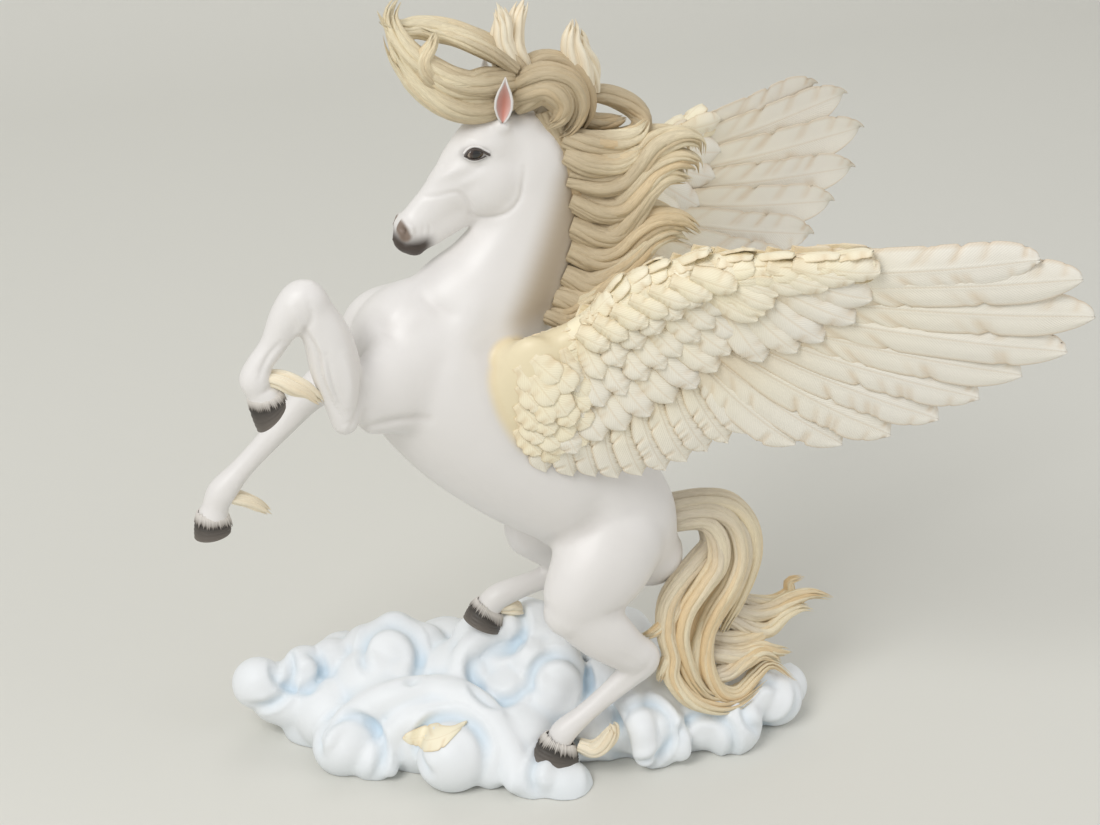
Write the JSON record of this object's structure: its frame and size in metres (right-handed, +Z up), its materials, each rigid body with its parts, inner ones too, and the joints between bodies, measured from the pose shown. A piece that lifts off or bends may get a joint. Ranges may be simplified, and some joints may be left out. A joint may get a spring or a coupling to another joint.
{
  "type": "winged horse figurine",
  "caption": "Rearing winged horse figurine with spread feathered wings and flowing mane and tail, cast in one piece on a bank of swirling clouds.",
  "frame": {"origin": "on the flat underside of the cloud bank, in the horse's middle plane, below the loin", "axes": "+X towards the tail, the horse faces -X; -Y is the horse's left side; +Z up"},
  "size_m": [0.3098, 0.202, 0.323],
  "materials": {
    "casting": "satin painted resin, pearly white coat, cream feathers and hair, pale blue cloud shading"
  },
  "bodies": {
    "root": {"pegasus_figurine": "casting"}
  },
  "joints": []
}
